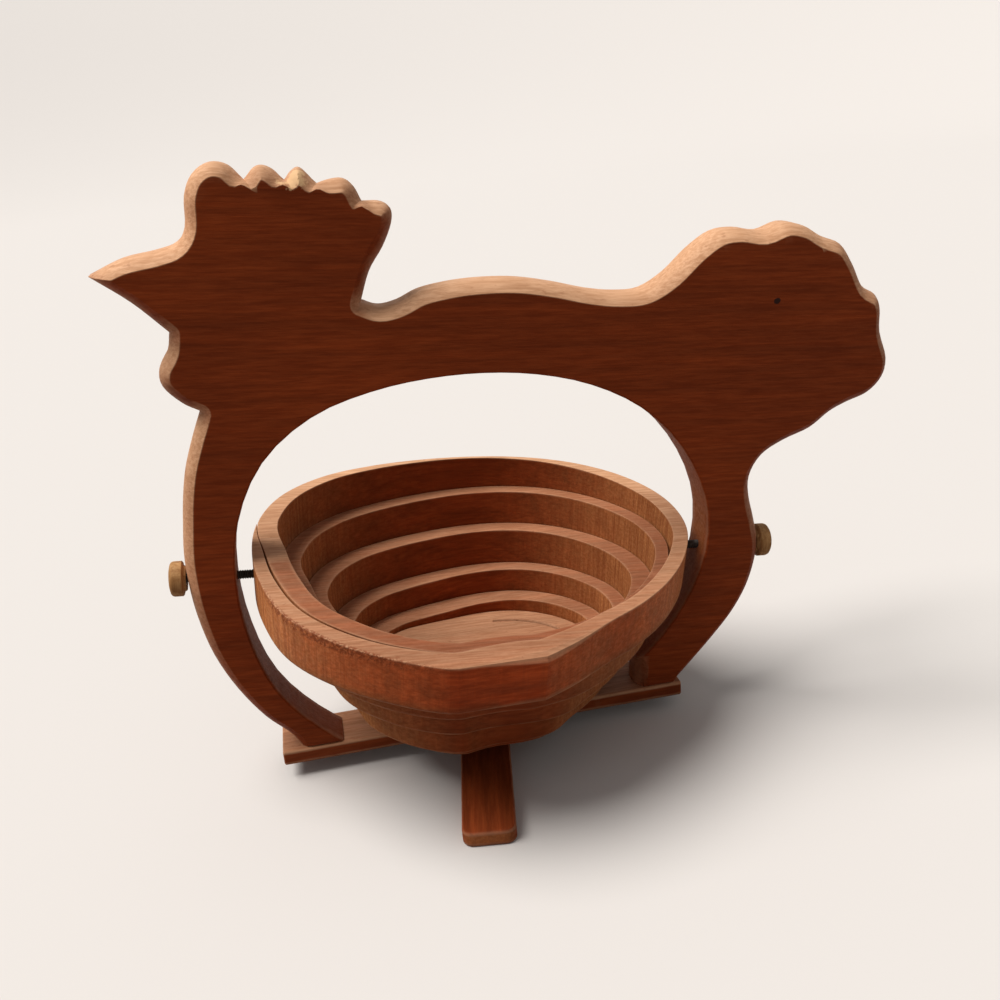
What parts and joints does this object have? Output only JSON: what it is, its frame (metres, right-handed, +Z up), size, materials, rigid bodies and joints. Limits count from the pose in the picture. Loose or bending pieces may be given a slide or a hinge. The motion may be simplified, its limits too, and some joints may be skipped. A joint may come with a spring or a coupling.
{
  "type": "collapsible wooden basket",
  "caption": "Collapsible basket sawn on a spiral from one board, hung on two pivot screws in a hen-shaped frame board that stands on a cross of two strips.",
  "frame": {"origin": "on the ground, under the crossing of the two stand strips", "axes": "+Z up, +X along the cross bar towards the hen's tail, +Y to the back"},
  "size_m": [0.2954, 0.1613, 0.2378],
  "materials": {
    "frame_wood": "oiled, rounded edges",
    "basket_wood": "oiled, sawn sides",
    "stand_wood": "oiled strip",
    "button_wood": "bare turned wood",
    "screw_steel": "dark, dull"
  },
  "bodies": {
    "stand": {"crossbar": "stand_wood", "foot_screw": "screw_steel"},
    "foot": {"front_foot": "stand_wood"},
    "frame": {"frame_board": "frame_wood", "pivot_screw_left": "screw_steel", "pivot_screw_right": "screw_steel", "button_left": "button_wood", "button_right": "button_wood"},
    "rim": {"basket_rim": "basket_wood"},
    "turn_1": {"spiral_turn_1": "basket_wood"},
    "turn_2": {"spiral_turn_2": "basket_wood"},
    "turn_3": {"spiral_turn_3": "basket_wood"},
    "turn_4": {"spiral_turn_4": "basket_wood"},
    "base": {"base_disc": "basket_wood"}
  },
  "joints": [
    {"name": "foot_swivel", "type": "hinge", "parent": "stand", "child": "foot", "pos_m": [0, 0, 0], "axis": [0, 0, 1], "range_deg": [-81.3, 98.7]},
    {"name": "frame_lift", "type": "slide", "parent": "stand", "child": "frame", "axis": [0, 0, 1], "range_m": [0, 0.0173]},
    {"name": "basket_fold", "type": "hinge", "parent": "frame", "child": "rim", "pos_m": [0.0042, -0.0022, 0.0791], "axis": [0.9954, 0, -0.0953], "range_deg": [0, 81.5]},
    {"name": "turn_1_rise", "type": "hinge", "parent": "rim", "child": "turn_1", "pos_m": [0.03509, -0.10096, 0.06131], "axis": [0.9511, 0.3056, -0.0452], "range_deg": [0, 4.41]},
    {"name": "turn_2_rise", "type": "slide", "parent": "turn_1", "child": "turn_2", "axis": [0.0714, -0.0752, 0.9946], "range_m": [0, 0.0139]},
    {"name": "turn_3_rise", "type": "slide", "parent": "turn_2", "child": "turn_3", "axis": [0.0714, -0.0752, 0.9946], "range_m": [0, 0.0145]},
    {"name": "turn_4_rise", "type": "slide", "parent": "turn_3", "child": "turn_4", "axis": [0.0714, -0.0752, 0.9946], "range_m": [0, 0.0117]},
    {"name": "base_rise", "type": "hinge", "parent": "turn_4", "child": "base", "pos_m": [0.02474, -0.07424, 0.02406], "axis": [0.9511, 0.3056, -0.0452], "range_deg": [0, 4.41]}
  ],
  "couplings": [
    {"joint": "frame_lift", "follows": "basket_fold", "m_per_rad": 0.012092},
    {"joint": "turn_1_rise", "follows": "basket_fold", "ratio": 0.053988},
    {"joint": "turn_2_rise", "follows": "basket_fold", "m_per_rad": 0.0097016},
    {"joint": "turn_3_rise", "follows": "basket_fold", "m_per_rad": 0.010123},
    {"joint": "turn_4_rise", "follows": "basket_fold", "m_per_rad": 0.008155},
    {"joint": "base_rise", "follows": "basket_fold", "ratio": 0.053988}
  ]
}
